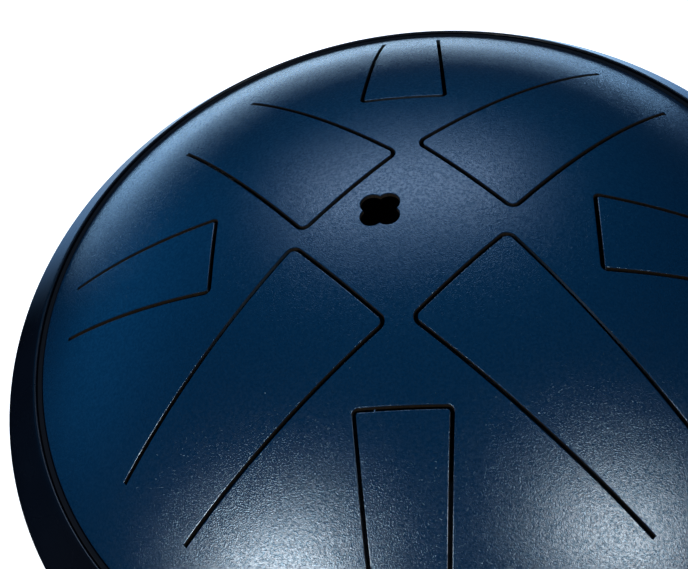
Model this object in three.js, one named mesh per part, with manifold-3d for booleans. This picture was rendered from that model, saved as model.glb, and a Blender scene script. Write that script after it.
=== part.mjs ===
// Steel tongue drum: a slotted steel dome that drops into the rim of a spun steel bowl, on a rubber seal
// and three rubber feet. Millimetres, +Z up, origin on the ground under the middle of the drum.
import * as THREE from "three";
import { mergeVertices } from "three/addons/utils/BufferGeometryUtils.js";
import Module from "manifold-3d";

const wasm = await Module();
wasm.setup();

// Dome
const domeRise = 59; // crown above the plane of the rim
const domeSheet = 2;
const skirtDepth = 4; // turned-down edge that stands on the seal

// Tongues, measured in plan on the middle of their slots
const slotWidth = 1.6;
const tongueTaper = 4; // degrees, each side draws in towards the root
const largeTipWidth = 49.4;
const smallTipWidth = 34;
const largeTipCorner = 3.2; // radius of the tip's corners
const smallTipCorner = 1.7;
const rootGap = 0.3; // parts the tongue from the sheet that it bends out of

// From the drum's middle to the slot across each tongue's tip
const backRightTip = 33.8;
const backLeftTip = 26.7;
const frontLeftTip = 31.5;
const frontRightTip = 30.2;
const rightTip = 71.8;
const backTip = 72.6;
const leftTip = 72.6;
const frontTip = 70.3;

// From the dome's edge to the slots' ends, where the tongues have their roots
const longRootMargin = 21.5;
const midRootMargin = 23.5;
const shortRootMargin = 40;
const smallRootMargin = 15;

const large = { tipWidth: largeTipWidth, tipCorner: largeTipCorner };
const small = { tipWidth: smallTipWidth, tipCorner: smallTipCorner, rootMargin: smallRootMargin };
const tongues = [
  { name: "tongue_back_right", bearing: 45, tip: backRightTip, rootMargin: longRootMargin, ...large },
  { name: "tongue_back_left", bearing: 135, tip: backLeftTip, rootMargin: shortRootMargin, ...large },
  { name: "tongue_front_left", bearing: 225, tip: frontLeftTip, rootMargin: midRootMargin, ...large },
  { name: "tongue_front_right", bearing: 315, tip: frontRightTip, rootMargin: longRootMargin, ...large },
  { name: "tongue_right", bearing: 0, tip: rightTip, ...small },
  { name: "tongue_back", bearing: 90, tip: backTip, ...small },
  { name: "tongue_left", bearing: 180, tip: leftTip, ...small },
  { name: "tongue_front", bearing: 270, tip: frontTip, ...small },
];

// Four-lobed sound hole, between the drum's middle and the shortest large tongue
const soundHoleBearing = 135;
const soundHoleDistance = 10.4;
const lobeRadius = 4.4;
const lobeOffset = 4.3;

// Bowl
const outerRadius = 175;
const bowlDepth = 100; // from the plane of the rim to the underside
const bowlSheet = 1.5;
const shoulderDrop = 18.5; // from the plane of the rim to the widest circle
const shoulderReach = 17.8; // from the lip out to the widest circle
const shoulderBend = 4; // outside radius of the bend at the widest circle
const lipFold = 0.8; // outside radius of the fold at the lip
const portRadius = 30;
const groundClearance = 5;

// Seat of the dome in the bowl
const grooveWidth = 2.7; // from the dome's edge to the bowl's lip
const sealRecess = 0.6; // seal's top below the plane of the rim
const sealBase = 2;
const sealOverhang = 3; // seal past the inside of the skirt
const ledgeOverhang = 2; // ledge past the inside of the seal
const seatGap = 0.3; // between pieces that rest on each other

// Feet
const footCircleRadius = 85;
const footBearings = { foot_front: 270, foot_back_right: 30, foot_back_left: 150 };
const footBaseRadius = 11;
const footDraft = 8; // degrees, the pad widens towards the bowl
const footEdge = 1.5; // rounded edge at the ground
const stemRadius = 4;
const stemHeadRadius = 6.5;
const stemHeadHeight = 4;

// Facets
const roundSteps = 64;
const domeSteps = 11;
const bowlSteps = 13;
const bendSteps = 3;
const cornerSteps = 4;
const lobeSteps = 18;
const footSteps = 18;

// Levels and radii that follow from the sizes above
const rimZ = groundClearance + bowlDepth;
const widestZ = rimZ - shoulderDrop;
const crownZ = rimZ + domeRise;
const skirtZ = rimZ - skirtDepth;
const ledgeZ = skirtZ - sealBase - 2 * seatGap;
const lipRadius = outerRadius - shoulderReach;
const domeEdgeRadius = lipRadius - grooveWidth;
const domeRadius = (domeEdgeRadius ** 2 + domeRise ** 2) / (2 * domeRise);
const domeCentreZ = crownZ - domeRadius;
const sealInnerRadius = domeEdgeRadius - domeSheet - sealOverhang;
const ledgeInnerRadius = sealInnerRadius - ledgeOverhang;
const radians = THREE.MathUtils.degToRad;

// Points of an elliptical arc in the radius and height plane, angles in radians from the outward radius.
function arc(centre, radiusAcross, radiusUp, from, to, steps) {
  return Array.from({ length: steps + 1 }, (_, i) => {
    const angle = from + ((to - from) * i) / steps;
    return [centre[0] + radiusAcross * Math.cos(angle), centre[1] + radiusUp * Math.sin(angle)];
  });
}

// A closed solid from a geometry whose vertices are shared.
function solidOf(geometry) {
  const bare = geometry.clone();
  bare.deleteAttribute("normal");
  bare.deleteAttribute("uv");
  const merged = mergeVertices(bare, 1e-4);
  const corners = merged.index.array;
  const triVerts = [];
  for (let i = 0; i < corners.length; i += 3) {
    const [a, b, c] = [corners[i], corners[i + 1], corners[i + 2]];
    if (a !== b && b !== c && c !== a) triVerts.push(a, b, c);
  }
  return new wasm.Manifold(
    new wasm.Mesh({
      numProp: 3,
      vertProperties: new Float32Array(merged.attributes.position.array),
      triVerts: new Uint32Array(triVerts),
    }),
  );
}

// A profile of [radius, height] points turned about the Z axis.
function turned(profile, steps = roundSteps) {
  const points = profile.map(([r, z]) => new THREE.Vector2(Math.max(r, 0), z));
  return new THREE.LatheGeometry(points, steps).rotateX(Math.PI / 2);
}

// An outline in plan, pushed up from the ground past the crown and turned to its bearing.
function prism(shape, bearing, curveSegments) {
  const options = { depth: crownZ + domeSheet, bevelEnabled: false, curveSegments };
  return solidOf(new THREE.ExtrudeGeometry(shape, options).rotateZ(radians(bearing)));
}

function meshOf(name, solid, material) {
  const { vertProperties, triVerts } = solid.getMesh();
  const geometry = new THREE.BufferGeometry();
  geometry.setAttribute("position", new THREE.BufferAttribute(new Float32Array(vertProperties), 3));
  geometry.setIndex(new THREE.BufferAttribute(new Uint32Array(triVerts), 1));
  geometry.computeVertexNormals();
  const mesh = new THREE.Mesh(geometry, material);
  mesh.name = name;
  return mesh;
}

function navyPowderCoat() {
  return new THREE.MeshStandardMaterial({ color: 0x053355, roughness: 0.36, metalness: 0 });
}

function blackEnamel() {
  return new THREE.MeshStandardMaterial({ color: 0x05070c, roughness: 0.25, metalness: 0 });
}

function blackRubber() {
  return new THREE.MeshStandardMaterial({ color: 0x0b0d12, roughness: 0.75, metalness: 0 });
}

// The whole dome before cutting: a spherical cap with a short turned-down skirt.
function domeBlank() {
  const innerRadius = domeRadius - domeSheet;
  const skirtInner = domeEdgeRadius - domeSheet;
  const edgeAngle = Math.acos(domeEdgeRadius / domeRadius);
  const innerAngle = Math.acos(skirtInner / innerRadius);
  const top = Math.PI / 2;
  return solidOf(
    turned([
      ...arc([0, domeCentreZ], innerRadius, innerRadius, top, innerAngle, domeSteps),
      [skirtInner, skirtZ],
      [domeEdgeRadius, skirtZ],
      ...arc([0, domeCentreZ], domeRadius, domeRadius, edgeAngle, top, domeSteps),
    ]),
  );
}

// A tongue's outline in plan, along +X. grow moves the tip and the sides away from the middle of the slot:
// half a slot outwards gives the opening in the dome, half a slot inwards the tongue.
// end is the distance of the root from the drum's middle.
function tongueOutline({ tip, tipWidth, tipCorner }, grow, end) {
  const taper = radians(tongueTaper);
  const tipX = tip - grow;
  const corner = tipCorner + grow;
  const halfWidth = (x) => tipWidth / 2 - Math.tan(taper) * (x - tip) + grow / Math.cos(taper);
  const cornerX = tipX + corner;
  const cornerY = halfWidth(cornerX) - corner / Math.cos(taper);
  const shape = new THREE.Shape();
  shape.moveTo(end, halfWidth(end));
  shape.lineTo(end, -halfWidth(end));
  shape.absarc(cornerX, -cornerY, corner, taper - Math.PI / 2, -Math.PI, true);
  shape.absarc(cornerX, cornerY, corner, Math.PI, Math.PI / 2 - taper, true);
  return shape;
}

const rootDistance = ({ rootMargin }) => domeEdgeRadius - rootMargin;

function soundHole() {
  const lobe = (quarter) => {
    const middle = radians(soundHoleBearing + 90 * quarter);
    const x = soundHoleDistance * Math.cos(radians(soundHoleBearing)) + lobeOffset * Math.cos(middle);
    const y = soundHoleDistance * Math.sin(radians(soundHoleBearing)) + lobeOffset * Math.sin(middle);
    return prism(new THREE.Shape().absarc(x, y, lobeRadius, 0, 2 * Math.PI), 0, lobeSteps);
  };
  return [0, 1, 2, 3].map(lobe).reduce((sum, next) => sum.add(next));
}

function topShell(blank) {
  const opening = (tongue) =>
    prism(tongueOutline(tongue, slotWidth / 2, rootDistance(tongue)), tongue.bearing, cornerSteps);
  const cuts = [...tongues.map(opening), soundHole()];
  const sheet = cuts.reduce((rest, cut) => rest.subtract(cut), blank);
  return meshOf("top_shell", sheet, navyPowderCoat());
}

function tongueMesh(tongue, blank) {
  const outline = tongueOutline(tongue, -slotWidth / 2, rootDistance(tongue) - rootGap);
  const sheet = blank.intersect(prism(outline, tongue.bearing, cornerSteps));
  return meshOf(tongue.name, sheet, navyPowderCoat());
}

// L-shaped ring: its base lies under the skirt, its upright closes the groove round the dome's edge.
function rimSeal() {
  const uprightInner = domeEdgeRadius + seatGap;
  const uprightOuter = lipRadius - seatGap;
  const profile = [
    [sealInnerRadius, ledgeZ + seatGap],
    [uprightOuter, ledgeZ + seatGap],
    [uprightOuter, rimZ - sealRecess],
    [uprightInner, rimZ - sealRecess],
    [uprightInner, skirtZ - seatGap],
    [sealInnerRadius, skirtZ - seatGap],
    [sealInnerRadius, ledgeZ + seatGap],
  ];
  return meshOf("rim_seal", solidOf(turned(profile)), blackRubber());
}

// Lower half of the bowl's ellipse, grown by an offset, from a start radius up to the widest circle.
function bowlArc(offset, startRadius) {
  const across = outerRadius + offset;
  const down = bowlDepth - shoulderDrop + offset;
  return arc([0, widestZ], across, down, -Math.acos(startRadius / across), 0, bowlSteps);
}

// The bowl: port, ellipse, bend at the widest circle, shoulder up to the folded lip, ledge for the seal.
function bowlBlank() {
  const lipCentre = [lipRadius + lipFold, rimZ - lipFold];
  const bendCentre = [outerRadius - shoulderBend, widestZ];
  const across = bendCentre[0] - lipCentre[0];
  const drop = lipCentre[1] - bendCentre[1];
  // The shoulder is the outer tangent of the two bends, so both arcs stop at its normal.
  const slope = Math.atan2(drop, across) - Math.asin((shoulderBend - lipFold) / Math.hypot(across, drop));
  const normal = Math.PI / 2 - slope;
  const innerBend = shoulderBend - bowlSheet;
  const wallOuter = lipRadius + bowlSheet;
  const innerBendArc = arc(bendCentre, innerBend, innerBend, 0, normal, bendSteps);
  const [bendTopRadius, bendTopZ] = innerBendArc.at(-1);
  const foldZ = bendTopZ + (bendTopRadius - wallOuter) * Math.tan(slope);
  const profile = [
    ...bowlArc(-bowlSheet, portRadius),
    ...innerBendArc.slice(1),
    [wallOuter, foldZ],
    [wallOuter, ledgeZ - bowlSheet],
    [ledgeInnerRadius, ledgeZ - bowlSheet],
    [ledgeInnerRadius, ledgeZ],
    [lipRadius, ledgeZ],
    ...arc(lipCentre, lipFold, lipFold, Math.PI, normal, bendSteps),
    ...arc(bendCentre, shoulderBend, shoulderBend, normal, 0, bendSteps),
    ...bowlArc(0, portRadius).reverse().slice(1),
  ];
  return solidOf(turned([...profile, profile[0]].reverse()));
}

// The space under or inside the bowl's sheet, closed at the widest circle.
function bowlFilling(offset) {
  return solidOf(turned([...bowlArc(offset, 0), [0, widestZ]]));
}

function footPlace(bearing) {
  const angle = radians(bearing);
  return [footCircleRadius * Math.cos(angle), footCircleRadius * Math.sin(angle), 0];
}

function upright(radius, bearing) {
  const column = new THREE.CylinderGeometry(radius, radius, widestZ, footSteps).rotateX(Math.PI / 2);
  return solidOf(column.translate(0, 0, widestZ / 2)).translate(footPlace(bearing));
}

function bottomShell() {
  const holes = Object.values(footBearings).map((bearing) => upright(stemRadius + seatGap, bearing));
  const bowl = holes.reduce((rest, hole) => rest.subtract(hole), bowlBlank());
  return meshOf("bottom_shell", bowl, blackEnamel());
}

// A foot is one moulding: a tapered pad under the bowl, a stem through its hole and a head inside.
function footMesh(name, bearing) {
  const padBlank = turned(
    [
      [0, 0],
      ...arc([footBaseRadius - footEdge, footEdge], footEdge, footEdge, -Math.PI / 2, 0, bendSteps),
      [footBaseRadius + (widestZ - footEdge) * Math.tan(radians(footDraft)), widestZ],
      [0, widestZ],
    ],
    footSteps,
  );
  const pad = solidOf(padBlank).translate(footPlace(bearing)).subtract(bowlFilling(seatGap));
  const inside = bowlFilling(-bowlSheet - seatGap);
  const aboveHead = bowlFilling(-bowlSheet - seatGap - stemHeadHeight);
  const head = upright(stemHeadRadius, bearing).intersect(inside).subtract(aboveHead);
  const stem = upright(stemRadius, bearing).subtract(aboveHead);
  return meshOf(name, pad.add(stem).add(head), blackRubber());
}

const drum = new THREE.Group();
const dome = domeBlank();
drum.add(topShell(dome));
tongues.forEach((tongue) => drum.add(tongueMesh(tongue, dome)));
drum.add(rimSeal(), bottomShell());
Object.entries(footBearings).forEach(([name, bearing]) => drum.add(footMesh(name, bearing)));

export default drum;
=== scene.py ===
# %% [markdown]
# A steel tongue drum
#
# The drum is two steel shells. The upper one, a dome, is cut by three-sided slots into eight tongues that
# ring when a finger or a mallet strikes them. The lower one is a bowl with a sloping shoulder and a folded
# lip, and a rubber ring seals the dome into it.
#
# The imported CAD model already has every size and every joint. This lesson loads it as a fixed frame, makes
# each piece again with finer curves and real edges, and then adds finishes, light and a camera. The CAD
# solids stay behind the scenes, where a simulation uses them for collision.

# %% Load the frame
import math

import bmesh
import bpy
import numpy as np
from mathutils import Matrix, Vector
from mathutils.geometry import delaunay_2d_cdt
from mathutils.kdtree import KDTree


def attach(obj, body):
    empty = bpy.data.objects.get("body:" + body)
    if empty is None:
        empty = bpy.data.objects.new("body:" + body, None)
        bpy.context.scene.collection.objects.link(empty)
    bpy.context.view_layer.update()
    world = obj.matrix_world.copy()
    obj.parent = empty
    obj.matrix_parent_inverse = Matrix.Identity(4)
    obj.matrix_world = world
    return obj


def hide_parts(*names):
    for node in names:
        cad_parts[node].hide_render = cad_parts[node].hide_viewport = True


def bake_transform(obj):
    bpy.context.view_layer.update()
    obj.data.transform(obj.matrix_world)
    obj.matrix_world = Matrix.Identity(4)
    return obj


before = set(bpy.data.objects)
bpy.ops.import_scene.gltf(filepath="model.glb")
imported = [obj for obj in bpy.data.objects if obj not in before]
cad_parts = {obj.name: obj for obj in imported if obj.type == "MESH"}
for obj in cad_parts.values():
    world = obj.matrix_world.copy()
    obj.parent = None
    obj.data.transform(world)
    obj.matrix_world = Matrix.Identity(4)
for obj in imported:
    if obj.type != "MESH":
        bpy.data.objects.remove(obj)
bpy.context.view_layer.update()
scene = bpy.context.scene
scene.view_settings.view_transform = "Standard"


def in_mm(metres):
    return [round(1000 * x, 2) for x in metres]


# %% [markdown]
# Sizes
#
# All the sizes of the drum are millimetres, as in the CAD model, so that they can be read against a
# ruler. Blender works in metres, and each mesh is scaled once, when it is made. The dome is part of a
# sphere: its edge radius and its rise fix the sphere's radius and centre.

# %% Sizes of the shells
MM = 0.001
RIM_Z = 105
DOME_EDGE = 154.5
DOME_RISE = 59
DOME_SHEET = 2
SKIRT_DEPTH = 4
GROOVE = 2.7  # from the dome's edge to the bowl's lip, filled by the seal
SEAT_GAP = 0.3  # between pieces that touch on a real drum
SEAL_BASE = 2
SPHERE = (DOME_EDGE**2 + DOME_RISE**2) / (2 * DOME_RISE)
SPHERE_Z = RIM_Z + DOME_RISE - SPHERE
SKIRT_Z = RIM_Z - SKIRT_DEPTH
LEDGE_Z = SKIRT_Z - SEAL_BASE - 2 * SEAT_GAP
LIP_RADIUS = DOME_EDGE + GROOVE
print(f"sphere of the dome: radius {SPHERE:.2f} mm, centre at z {SPHERE_Z:.2f} mm")

# %% [markdown]
# Camera
#
# The photograph looks down on the drum from in front, close enough for strong perspective, with the frame
# tipped a little. The view comes from fitting the CAD's slots and rim to the picture: first the camera
# stands on a line that rises from the middle of the rim, then it rolls, pans and tilts. Three axes at
# right angles make a rotation matrix, which is safer than stacking Euler angles.

# %% Camera
IMAGE_WIDTH = 688
FOCAL_PIXELS = 1244.64
SENSOR = 36
DISTANCE = 502.51  # from the middle of the rim's plane
elevation, azimuth, roll, pan, tilt = (
    math.radians(angle) for angle in (56.455, 8.019, -9.819, -3.26, 1.236)
)


def turned_towards(axis, other, angle):
    return math.cos(angle) * axis + math.sin(angle) * other


back = Vector((0, -math.cos(elevation), math.sin(elevation)))
right = Vector((1, 0, 0))
up = back.cross(right)
right, up = turned_towards(right, up, roll), turned_towards(up, -right, roll)
forward = turned_towards(-back, right, pan)
right = forward.cross(up)
forward = turned_towards(forward, up, tilt)
up = right.cross(forward)
axes = Matrix((right, up, -forward)).transposed()
swing = Matrix.Rotation(azimuth, 3, "Z")
eye = (swing @ back * DISTANCE + Vector((0, 0, RIM_Z))) * MM

camera = bpy.data.objects.new("camera", bpy.data.cameras.new("camera"))
camera.data.sensor_width = SENSOR
camera.data.lens = SENSOR * FOCAL_PIXELS / IMAGE_WIDTH
camera.data.clip_start = 0.01
camera.matrix_world = Matrix.Translation(eye) @ (swing @ axes).to_4x4()
scene.collection.objects.link(camera)
scene.camera = camera
print(f"camera at {[round(x, 3) for x in eye]} m, lens {camera.data.lens:.1f} mm")

# %% [markdown]
# Helpers for nodes
#
# Shader trees and geometry trees are built in the same way: add a node, set its fields, and give each
# input either a number or a link. One function does that for both, so the trees below read as lists of
# what they hold. Colours are written as they look on a screen, in sRGB hex, and Blender's sockets take
# linear light. A Mix node has sockets for numbers, vectors and colours side by side, so its colour
# sockets go by number.

# %% Helpers for nodes and colours
COLOUR_A, COLOUR_B, COLOUR_OUT = 6, 7, 2  # the colour sockets of a Mix node


def node(tree, kind, inputs=None, **settings):
    made = tree.nodes.new(kind)
    for field, value in settings.items():
        setattr(made, field, value)
    for socket, value in (inputs or {}).items():
        if isinstance(value, bpy.types.NodeSocket):
            tree.links.new(value, made.inputs[socket])
        else:
            made.inputs[socket].default_value = value
    return made


def linear(colour):
    channels = [int(colour[i : i + 2], 16) / 255 for i in (1, 3, 5)]
    return [c / 12.92 if c <= 0.04045 else ((c + 0.055) / 1.055) ** 2.4 for c in channels] + [1]


def new_material(name):
    material = bpy.data.materials.new(name)
    material.use_nodes = True
    return material, material.node_tree, material.node_tree.nodes["Principled BSDF"]


print("mid grey on a screen is", round(linear("#808080")[0], 3), "in linear light")

# %% [markdown]
# Finish of the dome: powder coat
#
# The dome and its tongues are sprayed with a dry powder that melts in an oven into a tough plastic film.
# The film keeps a fine grain, under a millimetre across, on top of slower waves that finishers call orange
# peel. The eye sees deep navy where nothing is reflected, and a broad grey sheen full of tiny sparkles
# where a lamp is.
#
# So the paint has two layers. The base is dark, and a little darker in the hollows of the grain, which is
# painted shade; its sharp facets give the sparkles. The coat on it is the top of the film, where the plastic
# has flowed: it levels most of the grain, and its haze gives the broad sheen. It is thin in some specks and
# full in others, so that the grain also shows where the paint mirrors something pale and even. Noise on
# Object coordinates has the same size all over the sheet, and runs on from the dome to the tongues without a
# seam.

# %% Navy powder coat
GRAIN = 0.44
PEEL = 2.6
SPECK = 1  # about twice the grain, because finer specks don't show in an even reflection
GRAIN_HEIGHT = 0.145
FILM_HEIGHT = 0.055
PEEL_SHARE = 0.05  # of the grain's height
FILM_HAZE = 0.28
NOISE_LOW, NOISE_HIGH = 0.3, 0.7  # nearly all of a noise lies between these
SPECK_LOW, SPECK_HIGH = 0.37, 0.63  # a narrower range gives the specks clear edges

navy_coat, tree, shader = new_material("grained_navy_powder_coat")
place = node(tree, "ShaderNodeTexCoord").outputs["Object"]
grain = node(tree, "ShaderNodeTexNoise", {"Vector": place, "Scale": 1 / (GRAIN * MM), "Detail": 1})
peel = node(tree, "ShaderNodeTexNoise", {"Vector": place, "Scale": 1 / (PEEL * MM), "Detail": 1})
specks = node(tree, "ShaderNodeTexNoise", {"Vector": place, "Scale": 1 / (SPECK * MM), "Detail": 2})
height = node(
    tree,
    "ShaderNodeMath",
    {0: peel.outputs["Fac"], 1: PEEL_SHARE, 2: grain.outputs["Fac"]},
    operation="MULTIPLY_ADD",
)
for layer, rise in (("Normal", GRAIN_HEIGHT), ("Coat Normal", FILM_HEIGHT)):
    bump = node(
        tree, "ShaderNodeBump", {"Height": height.outputs[0], "Strength": 1, "Distance": rise * MM}
    )
    tree.links.new(bump.outputs[0], shader.inputs[layer])
# Painted shade: the base colour follows the grain, and is darker in its hollows.
colour = node(
    tree,
    "ShaderNodeMix",
    {0: grain.outputs["Fac"], COLOUR_A: linear("#011425"), COLOUR_B: linear("#012947")},
    data_type="RGBA",
)
tree.links.new(colour.outputs[COLOUR_OUT], shader.inputs["Base Color"])
for target, noise, low, high, least, most in (
    ("Roughness", grain, NOISE_LOW, NOISE_HIGH, 0.12, 0.17),
    ("Coat Weight", specks, SPECK_LOW, SPECK_HIGH, 0.2, 1),
):
    span = {"From Min": low, "From Max": high, "To Min": least, "To Max": most}
    varied = node(tree, "ShaderNodeMapRange", {"Value": noise.outputs["Fac"], **span})
    tree.links.new(varied.outputs[0], shader.inputs[target])
shader.inputs["IOR"].default_value = 1.5
shader.inputs["Specular Tint"].default_value = linear("#c8edff")
shader.inputs["Coat Roughness"].default_value = FILM_HAZE
print("finish:", navy_coat.name, "with a grain of", GRAIN, "mm")

# %% [markdown]
# Finish of the slots: cut steel
#
# The slots are cut through the coated sheet with a laser, so their walls show the bare steel, browned a
# little by the heat. From a step away that is a thin warm line along the lit side of a slot. It is a
# metal, so its colour is its reflection, and fine streaks run down the wall as the beam left them.
# Stretching a noise along Z draws the streaks.

# %% Laser-cut steel
STREAK_WIDTH = 0.3  # a laser leaves finer streaks, which wouldn't show
STREAK_LENGTH = 25

cut_steel, tree, shader = new_material("laser_cut_steel")
place = node(tree, "ShaderNodeTexCoord").outputs["Object"]
across, along = 1 / (STREAK_WIDTH * MM), 1 / (STREAK_LENGTH * MM)
stretched = node(tree, "ShaderNodeMapping", {"Vector": place, "Scale": (across, across, along)})
streak = node(tree, "ShaderNodeTexNoise", {"Vector": stretched.outputs[0], "Scale": 1, "Detail": 1})
colour = node(
    tree,
    "ShaderNodeMix",
    {0: streak.outputs["Fac"], COLOUR_A: linear("#4e4238"), COLOUR_B: linear("#93816c")},
    data_type="RGBA",
)
tree.links.new(colour.outputs[COLOUR_OUT], shader.inputs["Base Color"])
shader.inputs["Metallic"].default_value = 1
shader.inputs["Roughness"].default_value = 0.42
print("finish:", cut_steel.name, "with streaks of", STREAK_WIDTH, "mm")

# %% [markdown]
# Finish of the bowl: enamel
#
# The shoulder of the bowl is nearly black and smooth: where it leans away from the light it goes quite
# dark, and where it is seen at a low angle it mirrors the pale floor. That is an enamel, smoother than the
# powder on the dome. Only a slow orange peel is left in it, too shallow to break a reflection, and a faint
# mottle some centimetres across, as a spray gun leaves it.

# %% Black enamel
MOTTLE = 45
ENAMEL_PEEL_HEIGHT = 0.012

black_enamel, tree, shader = new_material("sprayed_black_enamel")
place = node(tree, "ShaderNodeTexCoord").outputs["Object"]
peel = node(tree, "ShaderNodeTexNoise", {"Vector": place, "Scale": 1 / (PEEL * MM), "Detail": 1})
mottle = node(tree, "ShaderNodeTexNoise", {"Vector": place, "Scale": 1 / (MOTTLE * MM), "Detail": 3})
bump = node(
    tree,
    "ShaderNodeBump",
    {"Height": peel.outputs["Fac"], "Strength": 1, "Distance": ENAMEL_PEEL_HEIGHT * MM},
)
colour = node(
    tree,
    "ShaderNodeMix",
    {0: mottle.outputs["Fac"], COLOUR_A: linear("#03050a"), COLOUR_B: linear("#070b14")},
    data_type="RGBA",
)
span = {"From Min": NOISE_LOW, "From Max": NOISE_HIGH, "To Min": 0.24, "To Max": 0.3}
rough = node(tree, "ShaderNodeMapRange", {"Value": mottle.outputs["Fac"], **span})
tree.links.new(colour.outputs[COLOUR_OUT], shader.inputs["Base Color"])
tree.links.new(rough.outputs[0], shader.inputs["Roughness"])
tree.links.new(bump.outputs[0], shader.inputs["Normal"])
shader.inputs["IOR"].default_value = 1.5
shader.inputs["Specular IOR Level"].default_value = 0.3
print("finish:", black_enamel.name, "with a mottle of", MOTTLE, "mm")

# %% [markdown]
# Finish of the seal and the feet: rubber
#
# Both are moulded rubber, black and matt, with the faint texture of a spark-eroded mould. The eye sees a
# soft dark grey edge and no clear reflection, so the roughness is high and the bump fine.

# %% Black rubber
MOULD_GRIT = 0.5  # a mould's real grit is finer, and wouldn't show
GRIT_HEIGHT = 0.04

black_rubber, tree, shader = new_material("black_moulded_rubber")
place = node(tree, "ShaderNodeTexCoord").outputs["Object"]
grit = node(tree, "ShaderNodeTexNoise", {"Vector": place, "Scale": 1 / (MOULD_GRIT * MM), "Detail": 2})
bump = node(
    tree, "ShaderNodeBump", {"Height": grit.outputs["Fac"], "Strength": 1, "Distance": GRIT_HEIGHT * MM}
)
colour = node(
    tree,
    "ShaderNodeMix",
    {0: grit.outputs["Fac"], COLOUR_A: linear("#030509"), COLOUR_B: linear("#070b12")},
    data_type="RGBA",
)
tree.links.new(colour.outputs[COLOUR_OUT], shader.inputs["Base Color"])
tree.links.new(bump.outputs[0], shader.inputs["Normal"])
shader.inputs["Roughness"].default_value = 0.68
shader.inputs["Specular IOR Level"].default_value = 0.12
print("finish:", black_rubber.name, "with a grit of", MOULD_GRIT, "mm")

# %% [markdown]
# Outlines of the tongues
#
# Seen from above, each tongue points at the drum's middle. Its sides draw in a little towards the root,
# its tip is cut straight across, and the two tip corners are round. The slot runs round three sides, so
# the tongue's outline and the opening in the dome are the same shape, moved half a slot to either side
# of the slot's middle. One function draws both: grow is how far the outline lies outside that line.

# %% Tongue outlines in plan
SLOT = 1.6
TAPER = math.radians(4)
ROOT_GAP = 0.3
PITCH = 3.5  # spacing of the points along straight edges and inside the sheet
CORNER_STEPS = 12
LARGE, SMALL = 49.4, 34
CORNERS = {LARGE: 3.2, SMALL: 1.7}  # radius of the tip's corners for each width
# name: bearing in degrees, width at the tip, tip and root from the drum's middle
TONGUES = {
    "tongue_back_right": (45, LARGE, 33.8, 133),
    "tongue_back_left": (135, LARGE, 26.7, 114.5),
    "tongue_front_left": (225, LARGE, 31.5, 131),
    "tongue_front_right": (315, LARGE, 30.2, 133),
    "tongue_right": (0, SMALL, 71.8, 139.5),
    "tongue_back": (90, SMALL, 72.6, 139.5),
    "tongue_left": (180, SMALL, 72.6, 139.5),
    "tongue_front": (270, SMALL, 70.3, 139.5),
}


def straight(start, end, count):
    return np.linspace(start, end, count, endpoint=False)


def arc(centre, radius, start, end, count):
    angles = np.linspace(start, end, count + 1)
    return np.asarray(centre) + radius * np.c_[np.cos(angles), np.sin(angles)]


def half_width(tongue, x, grow):
    _, width, tip, _ = TONGUES[tongue]
    return width / 2 - math.tan(TAPER) * (x - tip) + grow / math.cos(TAPER)


def three_sides(tongue, grow, end):
    """Points from the left side's end, round the tip, to the right side's end, the tongue along +X."""
    _, width, tip, root = TONGUES[tongue]
    corner = CORNERS[width] + grow
    x = tip - grow + corner
    y = half_width(tongue, x, grow) - corner / math.cos(TAPER)
    left = arc((x, y), corner, math.pi / 2 - TAPER, math.pi, CORNER_STEPS)
    right = arc((x, -y), corner, -math.pi, TAPER - math.pi / 2, CORNER_STEPS)
    leg = round((root - tip) / PITCH)
    ends = np.array([[end, half_width(tongue, end, grow)], [end, -half_width(tongue, end, grow)]])
    return np.vstack(
        [
            straight(ends[0], left[0], leg),
            left[:-1],
            straight(left[-1], right[0], round(width / PITCH)),
            right[:-1],
            straight(right[-1], ends[1], leg),
            ends[1:],
        ]
    )


def root_line(tongue, grow):
    """Where the tongue leaves the dome's sheet, from its right side to its left."""
    _, width, _, root = TONGUES[tongue]
    x = root - ROOT_GAP
    reach = half_width(tongue, x, grow)
    return np.linspace((x, -reach), (x, reach), round(width / PITCH) + 1)


for tongue, (bearing, width, tip, root) in TONGUES.items():
    print(f"{tongue}: bearing {bearing}, {root - tip:.1f} mm long, {width} mm across the tip")

# %% [markdown]
# A cut sheet
#
# The dome and the tongues are one sheet of steel with cuts through it, so one function makes them all. It
# takes the borders of a piece as stacks of rings: the first ring lies on the top face, the last on the
# under face, and the rings between round the edge off as the coating does, by a quarter of a millimetre. A
# Boolean would also cut the slots, but it leaves long thin triangles that spoil a soft reflection. Here a
# constrained Delaunay triangulation fills the plan with even triangles that keep every border as an edge,
# and the sphere's formula gives each point its height.

# %% Rings down a cut edge
EDGE = 0.25
EDGE_ANGLES = np.radians([0, 45, 90])


def on_sphere(plan, depth=0):
    """Plan points lifted to the sphere that lies depth below the dome's outer face."""
    z = SPHERE_Z + np.sqrt((SPHERE - depth) ** 2 - (plan**2).sum(axis=1))
    return np.c_[plan, z]


def turned_plan(plan, bearing):
    c, s = math.cos(math.radians(bearing)), math.sin(math.radians(bearing))
    return plan @ np.array([[c, s], [-s, c]])


def cut_rings(outline, bearing):
    """Rings down a cut edge: outline(recess) gives the plan when the edge stands that far back."""
    rings = []
    for angle in EDGE_ANGLES:
        plan = turned_plan(outline(EDGE * (1 - math.sin(angle))), bearing)
        rings.append(on_sphere(plan) - [0, 0, EDGE * (1 - math.cos(angle))])
    return rings + [on_sphere(turned_plan(outline(0), bearing), DOME_SHEET)]


print("a cut edge has", len(EDGE_ANGLES) + 1, "rings and is rounded by", EDGE, "mm")

# %% Even triangles in plan
CLEARANCE = 0.55 * PITCH  # between the loose points and an edge
SAME_POINT = 1e-6


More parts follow.
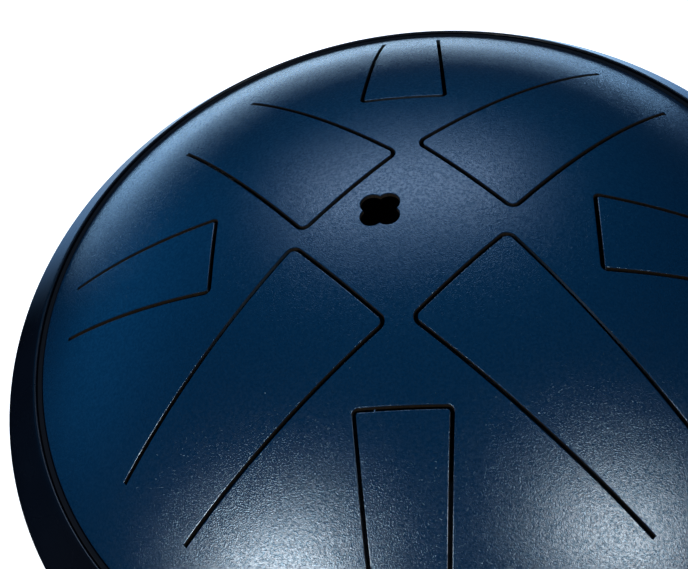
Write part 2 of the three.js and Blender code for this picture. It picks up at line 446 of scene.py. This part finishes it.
def inside(points, loop):
    """Even-odd test of plan points against a closed loop."""
    x, y = points[:, :1], points[:, 1:2]
    ax, ay = loop.T
    bx, by = np.roll(loop, -1, axis=0).T
    crosses = (ay > y) != (by > y)
    at = ax + (y - ay) / np.where(by == ay, 1, by - ay) * (bx - ax)
    return (crosses & (x < at)).sum(axis=1) % 2 == 1


def spread_points(border, holes, extra):
    """A honeycomb of plan points inside the border, clear of every edge, and the extra points."""
    low, high = border.min(axis=0), border.max(axis=0)
    row = np.arange(low[0], high[0], PITCH)
    rows = []
    for i, y in enumerate(np.arange(low[1], high[1], PITCH * math.sqrt(3) / 2)):
        rows.append(np.c_[row + PITCH / 2 * (i % 2), np.full(len(row), y)])
    grid = np.vstack(rows)
    grid = grid[inside(grid, border)]
    for hole in holes:
        grid = grid[~inside(grid, hole)]
    edge_points = np.vstack([border, *holes, extra])
    finder = KDTree(len(edge_points))
    for i, point in enumerate(edge_points):
        finder.insert((*point, 0), i)
    finder.balance()
    clear = [finder.find((*point, 0))[2] > CLEARANCE for point in grid]
    return np.vstack([grid[clear], extra])


def plan_triangles(loops, points):
    """Triangles between the loops, the first of which is the border, with every loop kept as edges."""
    corners = np.vstack([*loops, points])
    edges, first = [], 0
    for loop in loops:
        count = len(loop)
        edges += [(first + i, first + (i + 1) % count) for i in range(count)]
        first += count
    flat = [Vector(corner) for corner in corners]
    _, _, faces, origins, _, _ = delaunay_2d_cdt(flat, edges, [], 0, SAME_POINT)
    triangles = np.array([[origins[v][0] for v in face] for face in faces])
    middles = corners[triangles].mean(axis=1)
    keep = inside(middles, loops[0])
    for hole in loops[1:]:
        keep &= ~inside(middles, hole)
    return triangles[keep]


print("triangles of a sheet are about", PITCH, "mm across")

# %% Closed sheets
SHEET_CREASE = math.radians(20)


def sheet(name, border, holes, extra=np.empty((0, 2))):
    """A closed sheet of the dome. border and holes are stacks of rings, counter-clockwise from above."""
    stacks = [border, *holes]
    loops = [stack[0][:, :2] for stack in stacks]
    points = spread_points(loops[0], loops[1:], extra)
    triangles = plan_triangles(loops, points)
    top = [*[stack[0] for stack in stacks], on_sphere(points)]
    under = [*[stack[-1] for stack in stacks], on_sphere(points, DOME_SHEET)]
    count = sum(map(len, top))
    vertices = [*top, *under]
    faces = [tuple(t) for t in triangles] + [tuple(count + t[::-1]) for t in triangles]
    finishes = [0] * len(faces)
    first, total = 0, 2 * count
    for stack in stacks:
        size = len(stack[0])
        rows = [np.arange(first, first + size)]
        for ring in stack[1:-1]:
            vertices.append(ring)
            rows.append(np.arange(total, total + size))
            total += size
        rows.append(rows[0] + count)
        first += size
        # The wall below a cut edge's rounding is bare steel. The skirt has more rings and is painted.
        cut = len(stack) == len(EDGE_ANGLES) + 1
        for level, (above, below) in enumerate(zip(rows, rows[1:])):
            for i in range(size):
                j = (i + 1) % size
                quad = (above[i], above[j], below[j], below[i])
                faces.append(quad[::-1] if stack is border else quad)
                finishes.append(int(cut and level == len(stack) - 2))
    return sheet_object(name, np.vstack(vertices), faces, finishes, len(triangles))


def sheet_object(name, vertices, faces, finishes, top_faces):
    mesh = bpy.data.meshes.new(name)
    whole = [tuple(int(v) for v in face) for face in faces]
    mesh.from_pydata(vertices * MM, [], whole, shade_flat=False)
    mesh.polygons.foreach_set("material_index", finishes)
    mesh.materials.append(navy_coat)
    mesh.materials.append(cut_steel)
    mesh.set_sharp_from_angle(angle=SHEET_CREASE)
    # The top face takes the sphere's own normals, so that light runs on across a tongue's root.
    normals = np.array([corner.vector for corner in mesh.corner_normals])
    for polygon in mesh.polygons[:top_faces]:
        for loop in polygon.loop_indices:
            spot = vertices[mesh.loops[loop].vertex_index] - [0, 0, SPHERE_Z]
            normals[loop] = spot / np.linalg.norm(spot)
    mesh.normals_split_custom_set(normals.tolist())
    made = bpy.data.objects.new(name, mesh)
    scene.collection.objects.link(made)
    return made


print("finishes of a sheet:", navy_coat.name, "and", cut_steel.name)

# %% [markdown]
# Dome
#
# The dome has eight openings, a four-lobed sound hole and, at its edge, a small bend into a skirt that
# stands on the seal. Each opening goes all the way to the tongue's root line, where the tongue takes over
# from the same points, so no seam can show. The slots end square, a third of a millimetre past that line.

# %% Openings in the dome
HOLE_BEARING, HOLE_DISTANCE = 135, 10.4
LOBE, LOBE_OFFSET, LOBE_STEPS = 4.4, 4.3, 22


def opening(tongue):
    root = TONGUES[tongue][3]

    def outline(recess):
        end = root + recess
        grow = SLOT / 2 + recess
        across = half_width(tongue, end, -grow)
        return np.vstack(
            [root_line(tongue, -grow), [[end, across]], three_sides(tongue, grow, end), [[end, -across]]]
        )

    return cut_rings(outline, TONGUES[tongue][0])


def sound_hole():
    def outline(recess):
        radius = LOBE + recess
        lobes = []
        side = LOBE_OFFSET / math.sqrt(2)
        # Each lobe runs between the cusps that it shares with its neighbours.
        reach = math.pi / 4 + math.asin(side / radius)
        for quarter in range(4):
            middle = math.radians(90 * quarter)
            centre = LOBE_OFFSET * np.array([math.cos(middle), math.sin(middle)]) + [HOLE_DISTANCE, 0]
            lobes.append(arc(centre, radius, middle - reach, middle + reach, LOBE_STEPS)[:-1])
        return np.vstack(lobes)

    return cut_rings(outline, HOLE_BEARING)


openings = [opening(tongue) for tongue in TONGUES] + [sound_hole()]
print("openings in the dome:", len(openings))

# %% Dome
BEND, BEND_STEPS = 1.5, 8
RIM_STEPS = 512
HOLDING = 0.8  # a ring of points this far inside the edge keeps the triangles there even


def dome_border():
    """The bend at the dome's edge, the skirt and the inside corner, as rings of radius and height."""
    inner = SPHERE - DOME_SHEET
    bend_r = DOME_EDGE - BEND
    bend_z = SPHERE_Z + math.sqrt((SPHERE - BEND) ** 2 - bend_r**2)
    start = math.atan2(bend_z - SPHERE_Z, bend_r)
    profile = [*arc((bend_r, bend_z), BEND, start, 0, BEND_STEPS)]
    skirt_inner = DOME_EDGE - DOME_SHEET
    profile += [(DOME_EDGE, SKIRT_Z + EDGE), (DOME_EDGE - EDGE, SKIRT_Z)]
    profile += [(skirt_inner + EDGE, SKIRT_Z), (skirt_inner, SKIRT_Z + EDGE)]
    profile += [(skirt_inner, SPHERE_Z + math.sqrt(inner**2 - skirt_inner**2))]
    angles = np.linspace(0, 2 * math.pi, RIM_STEPS, endpoint=False)
    circle = np.c_[np.cos(angles), np.sin(angles)]
    return [np.c_[r * circle, np.full(RIM_STEPS, z)] for r, z in profile]


border = dome_border()
holding_ring = border[0][:, :2] * (1 - HOLDING / DOME_EDGE)
dome = sheet("dome", border, openings, holding_ring)
print("dome:", len(dome.data.polygons), "faces")

# %% [markdown]
# Tongues
#
# A tongue is the sheet that is left inside a slot. It shares its root line with the dome. The joints of
# the CAD model turn it about that line by a fraction of a degree. The real steel bends over its whole
# length.

# %% Tongues
def tongue_rings(tongue):
    root = TONGUES[tongue][3] - ROOT_GAP

    def outline(recess):
        grow = -SLOT / 2 - recess
        return np.vstack([root_line(tongue, grow), three_sides(tongue, grow, root)[1:-1]])

    return cut_rings(outline, TONGUES[tongue][0])


tongues = {tongue: sheet(tongue + "_sheet", tongue_rings(tongue), []) for tongue in TONGUES}
for tongue, made in tongues.items():
    print(tongue + ":", len(made.data.polygons), "faces")

# %% [markdown]
# Turned pieces
#
# The bowl, the seal and the feet are round about an axis, so their shape follows one rule: a section,
# turned. Geometry Nodes can do that live. The section is a line of points in the object's own mesh, a
# circle gives the path, and Curve to Mesh sweeps the one along the other. Segments sets how fine the
# turning is, and Merge closes the poles of a section that touches the axis.

# %% Turning tree
PATH_RADIUS = 100
POLE_GAP = 0.001  # points nearer than this to each other become one


def geometry_tree(name, sockets):
    tree = bpy.data.node_groups.new(name, "GeometryNodeTree")
    tree.interface.new_socket("Geometry", in_out="OUTPUT", socket_type="NodeSocketGeometry")
    tree.interface.new_socket("Geometry", in_out="INPUT", socket_type="NodeSocketGeometry")
    for socket, kind in sockets.items():
        tree.interface.new_socket(socket, in_out="INPUT", socket_type="NodeSocket" + kind)
    return tree, node(tree, "NodeGroupInput").outputs


turning, given = geometry_tree("turned section", {"Segments": "Int", "Material": "Material"})
section = node(turning, "GeometryNodeMeshToCurve", {"Mesh": given["Geometry"]})
path = node(
    turning,
    "GeometryNodeCurvePrimitiveCircle",
    {"Resolution": given["Segments"], "Radius": PATH_RADIUS * MM},
)
swept = node(
    turning,
    "GeometryNodeCurveToMesh",
    {"Curve": path.outputs["Curve"], "Profile Curve": section.outputs["Curve"]},
)
merged = node(
    turning, "GeometryNodeMergeByDistance", {"Geometry": swept.outputs["Mesh"], "Distance": POLE_GAP * MM}
)
smooth = node(turning, "GeometryNodeSetShadeSmooth", {"Geometry": merged.outputs[0]})
real = node(turning, "GeometryNodeRealizeInstances", {"Geometry": smooth.outputs[0]})
done = node(
    turning, "GeometryNodeSetMaterial", {"Geometry": real.outputs[0], "Material": given["Material"]}
)
node(turning, "NodeGroupOutput", {"Geometry": done.outputs[0]})
print("tree:", turning.name, "with", len(turning.nodes), "nodes")

# %% Running a tree on a section
CREASE = 30


def section_object(name, section, closed, seats=None):
    """A section of [radius, height] points as a line of edges; seats is an optional number per point."""
    # Curve to Mesh lays the section's X along the path's radius and its Y downwards.
    points = [((r - PATH_RADIUS) * MM, -z * MM, 0) for r, z in section]
    edges = [(i, i + 1) for i in range(len(points) - 1)] + ([(len(points) - 1, 0)] if closed else [])
    mesh = bpy.data.meshes.new(name)
    mesh.from_pydata(points, edges, [])
    if seats is not None:
        mesh.attributes.new("seat", "FLOAT", "POINT").data.foreach_set("value", seats)
    made = bpy.data.objects.new(name, mesh)
    scene.collection.objects.link(made)
    return made


def run_tree(obj, tree, values):
    """Adds the tree to the object, sets its inputs by identifier and keeps the mesh that it makes."""
    modifier = obj.modifiers.new(tree.name, "NODES")
    modifier.node_group = tree
    sockets = {s.name: s.identifier for s in tree.interface.items_tree if s.in_out == "INPUT"}
    for socket, value in values.items():
        modifier[sockets[socket]] = value
    evaluated = obj.evaluated_get(bpy.context.evaluated_depsgraph_get())
    mesh = bpy.data.meshes.new_from_object(evaluated)
    obj.modifiers.clear()
    obj.data = mesh


def settle(obj, crease=CREASE):
    """Turns the faces of a closed mesh outwards and keeps corners sharper than the crease crisp."""
    shape = bmesh.new()
    shape.from_mesh(obj.data)
    if shape.calc_volume(signed=True) < 0:
        bmesh.ops.reverse_faces(shape, faces=shape.faces)
    shape.to_mesh(obj.data)
    shape.free()
    obj.data.set_sharp_from_angle(angle=math.radians(crease))
    obj.data.update()
    print(f"{obj.name}: {len(obj.data.polygons)} faces, box {in_mm(obj.dimensions)}")


print("corners of a turned piece stay crisp from", CREASE, "degrees")

# %% [markdown]
# Bowl
#
# The bowl is spun from one disc of steel: a half ellipse from the port in its underside out to its widest
# circle, a tight bend, a straight shoulder, a folded lip and a ledge that carries the seal. Both faces of
# the sheet are in the section, a sheet's thickness apart, so the piece is closed. Three small holes take
# the stems of the feet. They are cut in a second tree, because they repeat round a circle.

# %% Bowl section
OUTER = 175
WIDEST_Z = 86.5
GROUND_GAP = 5  # between the underside and the ground
BOWL_DOWN = WIDEST_Z - GROUND_GAP
BOWL_SHEET = 1.5
BOWL_STEPS = 72
SHOULDER_BEND, SHOULDER_STEPS = 4, 8
LIP_FOLD = 0.8
INNER_STEPS, OUTER_STEPS = 8, 14  # of the bends, inside and outside
PORT = 30
SEAL_WIDTH = 3  # how far the seal's foot reaches in past the dome's skirt
LEDGE_WIDTH = 2  # and the ledge past the seal
SEAL_INNER = DOME_EDGE - DOME_SHEET - SEAL_WIDTH
LEDGE_INNER = SEAL_INNER - LEDGE_WIDTH


def bowl_arc(offset):
    across, down = OUTER + offset, BOWL_DOWN + offset
    angles = np.linspace(-math.acos(PORT / across), 0, BOWL_STEPS + 1)
    return np.c_[across * np.cos(angles), WIDEST_Z + down * np.sin(angles)]


def bowl_section():
    lip = np.array([LIP_RADIUS + LIP_FOLD, RIM_Z - LIP_FOLD])
    bend = np.array([OUTER - SHOULDER_BEND, WIDEST_Z])
    across, drop = bend[0] - lip[0], lip[1] - bend[1]
    slope = math.atan2(drop, across) - math.asin((SHOULDER_BEND - LIP_FOLD) / math.hypot(across, drop))
    normal = math.pi / 2 - slope
    inner_bend = arc(bend, SHOULDER_BEND - BOWL_SHEET, 0, normal, INNER_STEPS)
    wall = LIP_RADIUS + BOWL_SHEET
    fold_z = inner_bend[-1][1] + (inner_bend[-1][0] - wall) * math.tan(slope)
    ledge = [
        (wall, fold_z),
        (wall, LEDGE_Z - BOWL_SHEET),
        (LEDGE_INNER, LEDGE_Z - BOWL_SHEET),
        (LEDGE_INNER, LEDGE_Z),
        (LIP_RADIUS, LEDGE_Z),
    ]
    fold = arc(lip, LIP_FOLD, math.pi, normal, OUTER_STEPS)
    outer_bend = arc(bend, SHOULDER_BEND, normal, 0, OUTER_STEPS)
    shoulder = straight(fold[-1], outer_bend[0], SHOULDER_STEPS)[1:]
    return np.vstack(
        [bowl_arc(-BOWL_SHEET), inner_bend[1:], ledge, fold, shoulder, outer_bend, bowl_arc(0)[::-1][1:]]
    )


print("points in the bowl's section:", len(bowl_section()))

# %% Tree for the holes
FEET = 3
FOOT_CIRCLE = 85
FOOT_BEARING = 30
HOLE_SIDES = 32


def foot_spots(tree, circle):
    """Adds the points round the axis where the feet stand."""
    ring = node(tree, "GeometryNodeMeshCircle", {"Vertices": FEET, "Radius": circle})
    turn = (0, 0, math.radians(FOOT_BEARING))
    return node(tree, "GeometryNodeTransform", {"Geometry": ring.outputs[0], "Rotation": turn}).outputs[0]


drilling, given = geometry_tree(
    "holes for feet", {"Circle": "Float", "Hole": "Float", "Material": "Material"}
)
drill = node(
    drilling,
    "GeometryNodeMeshCylinder",
    {"Vertices": HOLE_SIDES, "Radius": given["Hole"], "Depth": 2 * WIDEST_Z * MM},
)
drills = node(
    drilling,
    "GeometryNodeInstanceOnPoints",
    {"Points": foot_spots(drilling, given["Circle"]), "Instance": drill.outputs["Mesh"]},
)
solid_drills = node(drilling, "GeometryNodeRealizeInstances", {"Geometry": drills.outputs[0]})
drilled = node(
    drilling,
    "GeometryNodeMeshBoolean",
    {"Mesh 1": given["Geometry"], "Mesh 2": solid_drills.outputs[0]},
    operation="DIFFERENCE",
)
real = node(drilling, "GeometryNodeRealizeInstances", {"Geometry": drilled.outputs["Mesh"]})
done = node(
    drilling, "GeometryNodeSetMaterial", {"Geometry": real.outputs[0], "Material": given["Material"]}
)
node(drilling, "NodeGroupOutput", {"Geometry": done.outputs[0]})
print("tree:", drilling.name, "with", len(drilling.nodes), "nodes")

# %% Bowl
STEM = 4
RING_SEGMENTS = 320

bowl = section_object("bowl", bowl_section(), closed=True)
run_tree(bowl, turning, {"Segments": RING_SEGMENTS, "Material": black_enamel})
settle(bowl)
run_tree(
    bowl,
    drilling,
    {"Circle": FOOT_CIRCLE * MM, "Hole": (STEM + SEAT_GAP) * MM, "Material": black_enamel},
)
settle(bowl)

# %% [markdown]
# Seal
#
# The seal is a moulded ring with an L-shaped section. Its foot lies under the dome's skirt, and its
# upright fills the groove between the dome and the bowl's lip, a little below the rim. The moulding has
# rounded arrises, which catch the thin dark sheen that the photograph shows between dome and lip.

# %% Seal
SEAL_RECESS = 0.6
SEAL_ROUND = 0.5
SEAL_CREASE = 40


def rounded(corners, radius, steps=4):
    """A closed section with each corner rounded off."""
    corners = np.asarray(corners, float)
    points = []
    for before, corner, after in zip(np.roll(corners, 1, axis=0), corners, np.roll(corners, -1, axis=0)):
        to_before = (before - corner) / np.linalg.norm(before - corner)
        to_after = (after - corner) / np.linalg.norm(after - corner)
        for t in np.linspace(0, 1, steps + 1):
            points.append(corner + radius * ((1 - t) ** 2 * to_before + t**2 * to_after))
    return np.array(points)


inner_r, outer_r = DOME_EDGE + SEAT_GAP, LIP_RADIUS - SEAT_GAP
seal_section = rounded(
    [
        (SEAL_INNER, LEDGE_Z + SEAT_GAP),
        (outer_r, LEDGE_Z + SEAT_GAP),
        (outer_r, RIM_Z - SEAL_RECESS),
        (inner_r, RIM_Z - SEAL_RECESS),
        (inner_r, SKIRT_Z - SEAT_GAP),
        (SEAL_INNER, SKIRT_Z - SEAT_GAP),
    ],
    SEAL_ROUND,
)
seal = section_object("seal", seal_section, closed=True)
run_tree(seal, turning, {"Segments": RING_SEGMENTS, "Material": black_rubber})
settle(seal, SEAL_CREASE)

# %% [markdown]
# Feet
#
# Three rubber feet are pushed into the bowl from below: a tapered pad, a stem through the sheet and a head
# that keeps it there. One foot is turned from its section, and another tree sets three of them on a
# circle. The bowl is steeper on the outer side of a foot than on the inner, so each point carries a number
# called seat: at 0 it stays at its height above the ground, and at 1 its height counts from the bowl's own
# ellipse, so the pad's top and the head fit the curved sheet.

# %% Tree for the feet
seated, given = geometry_tree(
    "feet on the bowl",
    {"Circle": "Float", "Across": "Float", "Down": "Float", "Widest": "Float", "Material": "Material"},
)
copies = node(
    seated,
    "GeometryNodeInstanceOnPoints",
    {"Points": foot_spots(seated, given["Circle"]), "Instance": given["Geometry"]},
)
real = node(seated, "GeometryNodeRealizeInstances", {"Geometry": copies.outputs[0]})
position = node(seated, "GeometryNodeInputPosition").outputs[0]
flat = node(seated, "ShaderNodeVectorMath", {0: position, 1: (1, 1, 0)}, operation="MULTIPLY")
radius = node(seated, "ShaderNodeVectorMath", {0: flat.outputs[0]}, operation="LENGTH").outputs["Value"]
share = node(seated, "ShaderNodeMath", {0: radius, 1: given["Across"]}, operation="DIVIDE").outputs[0]
square = node(seated, "ShaderNodeMath", {0: share, 1: share}, operation="MULTIPLY").outputs[0]
rest = node(seated, "ShaderNodeMath", {0: 1, 1: square}, operation="SUBTRACT").outputs[0]
depth = node(seated, "ShaderNodeMath", {0: rest}, operation="SQRT").outputs[0]
drop = node(seated, "ShaderNodeMath", {0: depth, 1: given["Down"]}, operation="MULTIPLY").outputs[0]
level = node(seated, "ShaderNodeMath", {0: given["Widest"], 1: drop}, operation="SUBTRACT").outputs[0]
seat = node(seated, "GeometryNodeInputNamedAttribute", {"Name": "seat"}, data_type="FLOAT")
lift = node(seated, "ShaderNodeMath", {0: level, 1: seat.outputs["Attribute"]}, operation="MULTIPLY")
offset = node(seated, "ShaderNodeCombineXYZ", {"Z": lift.outputs[0]})
moved = node(
    seated, "GeometryNodeSetPosition", {"Geometry": real.outputs[0], "Offset": offset.outputs[0]}
)
done = node(
    seated, "GeometryNodeSetMaterial", {"Geometry": moved.outputs[0], "Material": given["Material"]}
)
node(seated, "NodeGroupOutput", {"Geometry": done.outputs[0]})
print("tree:", seated.name, "with", len(seated.nodes), "nodes")

# %% Feet
FOOT_BASE = 11
FOOT_EDGE, EDGE_STEPS = 1.5, 6
PAD_FLANK, PAD_TAPER = 14, math.radians(8)  # about how high the pad's side is, and its slope
FOOT_TOP = FOOT_BASE + PAD_FLANK * math.tan(PAD_TAPER)
PAD_CHAMFER = 0.4
PAD_STEPS = 8
SOLE_RING, SHOULDER_RING = 5, 9  # extra circles on the flat faces, which keep their triangles even
HEAD, HEAD_HEIGHT, HEAD_CHAMFER = 6.5, 4, 1
FOOT_SEGMENTS = 48
SLANT = 1.035  # a sheet that leans 15 degrees is thicker when measured straight up

below, above = -SEAT_GAP * SLANT, (BOWL_SHEET + SEAT_GAP) * SLANT
head_top = above + HEAD_HEIGHT
sole_edge = arc((FOOT_BASE - FOOT_EDGE, FOOT_EDGE), FOOT_EDGE, -math.pi / 2, 0, EDGE_STEPS)
# radius, height and seat of each point of the section
foot_points = [(0, 0, 0), (SOLE_RING, 0, 0)]
foot_points += [(r, z, 0) for r, z in sole_edge]
for part in np.linspace(0, 1, PAD_STEPS + 1)[1:-1]:
    r = FOOT_BASE + (FOOT_TOP - FOOT_BASE) * part
    foot_points.append((r, FOOT_EDGE * (1 - part) + below * part, part))
foot_points += [(FOOT_TOP - PAD_CHAMFER, below, 1), (SHOULDER_RING, below, 1)]
foot_points += [(STEM, below, 1), (STEM, above, 1), (HEAD, above, 1)]
foot_points += [(HEAD, head_top - HEAD_CHAMFER, 1), (HEAD - HEAD_CHAMFER, head_top, 1), (0, head_top, 1)]
feet = section_object(
    "feet", [p[:2] for p in foot_points], closed=False, seats=[p[2] for p in foot_points]
)
run_tree(feet, turning, {"Segments": FOOT_SEGMENTS, "Material": black_rubber})
run_tree(
    feet,
    seated,
    {
        "Circle": FOOT_CIRCLE * MM,
        "Across": OUTER * MM,
        "Down": BOWL_DOWN * MM,
        "Widest": WIDEST_Z * MM,
        "Material": black_rubber,
    },
)
settle(feet)

# %% [markdown]
# Riding on the frame
#
# The dome, the bowl, the seal and the feet are tied to one body of the CAD model, so that they move when
# it does. Each tongue stays where it is made, tied to no body, and its CAD tongue is hidden.

# %% Riding on the frame
BLEND_LENGTH = 25

fixed_pieces = (
    (dome, ["top_shell"], "navy_powder_coat"),
    (bowl, ["bottom_shell"], "black_enamel"),
    (seal, ["rim_seal"], "black_rubber"),
    (feet, ["foot_front", "foot_back_right", "foot_back_left"], "black_rubber"),
)
for piece, nodes, finish in fixed_pieces:
    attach(piece, "drum_body")
    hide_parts(*nodes)

for tongue, piece in tongues.items():
    bearing, _, _, root = TONGUES[tongue]
    line = np.array([[root - ROOT_GAP, 0], [root - ROOT_GAP - BLEND_LENGTH, 0]])
    start, end = on_sphere(turned_plan(line, bearing)) * MM
    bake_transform(piece)
    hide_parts(tongue)
print("pieces that ride:", len(fixed_pieces) + len(tongues))

# %% [markdown]
# Floor
#
# The drum stands on a plain white floor. The floor is lit like any other surface, so it takes the drum's
# shadow. Away from the drum, emission lifts it to white for the camera. Under the port it is painted
# dark, for the deep shade there: the slots look down through the port, and would show a pale spot.
#
# In reflections only a part of the floor is bright: it glows for reflected rays alone, a painted reflection,
# as if a pale sheet lay behind the drum, and the rest is dark. It is whitest in a painted pool of light,
# bluer round that, and it fades at its far end. This draws the pale band along the far rim and keeps the
# near side of the drum dark.

# %% Floor
FLOOR_RADIUS, FLOOR_SIDES = 2500, 96

floor_mesh = bpy.data.meshes.new("floor")
shape = bmesh.new()
bmesh.ops.create_circle(shape, cap_ends=True, radius=FLOOR_RADIUS * MM, segments=FLOOR_SIDES)
shape.to_mesh(floor_mesh)
shape.free()
floor = bpy.data.objects.new("floor", floor_mesh)
scene.collection.objects.link(floor)
print("floor:", 2 * FLOOR_RADIUS, "mm across")

# %% Paint of the floor
LIFTED = (90, 260)  # radii between which the floor is lifted to white
DEEP = (50, 90)  # radii between which the deep shade under the port ends
SHEET_WAY = (0.707, 0.707, 0)  # across the edge of the pale sheet, in plan
SHEET_EDGE = (-135, -40)
SHEET_END = (320, 450)  # radii between which its far end fades
END_GLOW = 0.08  # what is left of it there
# The pool is painted light: reflected rays see the floor's glow here, not a lamp's light on it.
PAINTED_POOL = Vector((-60, 330, 0))  # where light falls on the sheet
PAINTED_POOL_EDGE = (60, 260)


def seen_straight(tree):
    """Adds the kinds of rays, and a value that is 1 for a ray from the camera, also through glass."""
    rays = node(tree, "ShaderNodeLightPath").outputs
    kinds = {0: rays["Is Camera Ray"], 1: rays["Is Transmission Ray"]}
    return rays, node(tree, "ShaderNodeMath", kinds, operation="MAXIMUM").outputs[0]


floor_paint, tree, _ = new_material("white_floor")
tree.nodes.clear()
rays, seen = seen_straight(tree)
place = node(tree, "ShaderNodeTexCoord").outputs["Object"]
reach = node(tree, "ShaderNodeVectorMath", {0: place}, operation="LENGTH")
across = node(tree, "ShaderNodeVectorMath", {0: place, 1: SHEET_WAY}, operation="DOT_PRODUCT")
off_pool = node(tree, "ShaderNodeVectorMath", {0: place, 1: PAINTED_POOL * MM}, operation="DISTANCE")
shares = {}
for name, measure, (start, end), first, last in (
    ("lifted", reach, LIFTED, 0, 1),
    ("open", reach, DEEP, 0, 1),
    ("sheet", across, SHEET_EDGE, 0, 1),
    ("end", reach, SHEET_END, 1, END_GLOW),
    ("off painted pool", off_pool, PAINTED_POOL_EDGE, 0, 1),
):
    span = {"From Min": start * MM, "From Max": end * MM, "To Min": first, "To Max": last}
    ramp = node(
        tree,
        "ShaderNodeMapRange",
        {"Value": measure.outputs["Value"], **span},
        interpolation_type="SMOOTHSTEP",
    )
    shares[name] = ramp.outputs[0]
colours = {}
for name, share, first, last in (
    ("white", "open", "#15161a", "#f2f4f7"),
    ("pale", "off painted pool", "#e4f3ff", "#89bfff"),
):
    pair = {COLOUR_A: linear(first), COLOUR_B: linear(last)}
    mixed = node(tree, "ShaderNodeMix", {0: shares[share], **pair}, data_type="RGBA")
    colours[name] = mixed.outputs[COLOUR_OUT]
lit = node(tree, "ShaderNodeBsdfDiffuse", {"Color": colours["white"]})
glow = node(tree, "ShaderNodeMath", {0: seen, 1: shares["lifted"]}, operation="MULTIPLY")
lift = node(tree, "ShaderNodeEmission", {"Strength": glow.outputs[0]})
white = node(tree, "ShaderNodeAddShader", {0: lit.outputs[0], 1: lift.outputs[0]})
# Painted reflection: for glossy rays the floor glows on the pale sheet, fading at its far end.
painted_reflection_strength = node(tree, "ShaderNodeMath", {0: shares["sheet"], 1: shares["end"]}, operation="MULTIPLY")
painted_reflection = node(tree, "ShaderNodeEmission", {"Color": colours["pale"], "Strength": painted_reflection_strength.outputs[0]})
both = node(
    tree, "ShaderNodeMixShader", {0: rays["Is Glossy Ray"], 1: white.outputs[0], 2: painted_reflection.outputs[0]}
)
node(tree, "ShaderNodeOutputMaterial", {"Surface": both.outputs[0]})
# The floor shows different light to different rays, so Cycles must not also sample it as a lamp.
floor_paint.cycles.emission_sampling = "NONE"
floor_mesh.materials.append(floor_paint)
print("paint of the floor:", len(tree.nodes), "nodes")

# %% [markdown]
# Room
#
# The room is white to the camera. In reflections, and as a lamp, it is nearly black, with two blue areas:
# a card low on the left, behind the drum, and a wall high behind it. They lay a blue gleam over the navy
# paint. The dot product of a direction with the way to an area tells how near the two are.

# %% Room
CARD_WAY, CARD_EDGE = (-0.88, 0.46, 0.07), (0.84, 0.98)
WALL_WAY, WALL_EDGE = (-0.05, 0.72, 0.69), (0.5, 1)

room = bpy.data.worlds.new("room")
room.use_nodes = True
scene.world = room
tree = room.node_tree
_, seen = seen_straight(tree)
way = node(tree, "ShaderNodeTexCoord").outputs["Generated"]
layers = []
for area, edge, colour in ((WALL_WAY, WALL_EDGE, "#0b6498"), (CARD_WAY, CARD_EDGE, "#1c7cc4")):
    near = node(tree, "ShaderNodeVectorMath", {0: way, 1: area}, operation="DOT_PRODUCT")
    ramp = node(
        tree,
        "ShaderNodeMapRange",
        {"Value": near.outputs["Value"], "From Min": edge[0], "From Max": edge[1]},
        interpolation_type="SMOOTHSTEP",
    )
    layers.append((ramp.outputs[0], colour))
shown = linear("#02050b")
for share, colour in layers + [(seen, "#ffffff")]:
    pair = {COLOUR_A: shown, COLOUR_B: linear(colour)}
    mixed = node(tree, "ShaderNodeMix", {0: share, **pair}, data_type="RGBA")
    shown = mixed.outputs[COLOUR_OUT]
tree.links.new(shown, tree.nodes["Background"].inputs["Color"])
print("room:", len(layers), "blue areas")

# %% [markdown]
# Lamps
#
# The sheen on the dome tells where the lamps stood: following the camera's view off the curved steel, a
# wide, shallow soft box hangs behind the drum, and two tall narrow ones stand in front, left and right,
# lower than the camera and tipped to one side as their highlights are. A dim blue panel lies on the
# floor behind the drum and shines upwards, on the shoulder of the bowl there. None of them shows to the
# camera.

# %% Lamps
CROWN = Vector((0, 0, (RIM_Z + DOME_RISE) * MM))
LAMP_DISTANCE = 1.2  # metres
# name: bearing and elevation in degrees, width and height in metres, roll in degrees, watts and colour
SOFT_BOXES = {
    "back_soft_box": (-5, 41, (0.84, 0.28), 0, 4.2, "#c4dbff"),
    "left_soft_box": (-140, 32, (0.24, 0.48), -40, 11.8, "#f6faff"),
    "right_soft_box": (129.5, 32.5, (0.24, 0.48), 24, 7.8, "#f6faff"),
}
PANEL_SIZE = (0.7, 0.16)  # metres
PANEL_SPOT = Vector((-140, 322, 1))
PANEL_POWER = 0.49


def area_lamp(name, shape, size, power, colour, place):
    lamp = bpy.data.lights.new(name, "AREA")
    lamp.shape = shape
    lamp.size, lamp.size_y = size
    lamp.energy = power
    lamp.color = linear(colour)[:3]
    made = bpy.data.objects.new(name, lamp)
    made.matrix_world = place
    made.visible_camera = False
    scene.collection.objects.link(made)
    print(f"{name}: {power} W")


def facing_crown(bearing, elevation, roll):
    """Where a lamp hangs that faces the crown. A bearing of 0 is straight behind, and 90 to the right."""
    a, e = math.radians(bearing), math.radians(elevation)
    way = Vector((math.sin(a) * math.cos(e), math.cos(a) * math.cos(e), math.sin(e)))
    turn = way.to_track_quat("Z", "Y").to_matrix().to_4x4() @ Matrix.Rotation(math.radians(roll), 4, "Z")
    return Matrix.Translation(CROWN + LAMP_DISTANCE * way) @ turn


for name, (bearing, elevation, size, roll, power, colour) in SOFT_BOXES.items():
    area_lamp(name, "RECTANGLE", size, power, colour, facing_crown(bearing, elevation, roll))
facing_up = Matrix.Translation(PANEL_SPOT * MM) @ Matrix.Rotation(math.pi, 4, "X")
area_lamp("low_panel", "ELLIPSE", PANEL_SIZE, PANEL_POWER, "#9fd2ff", facing_up)
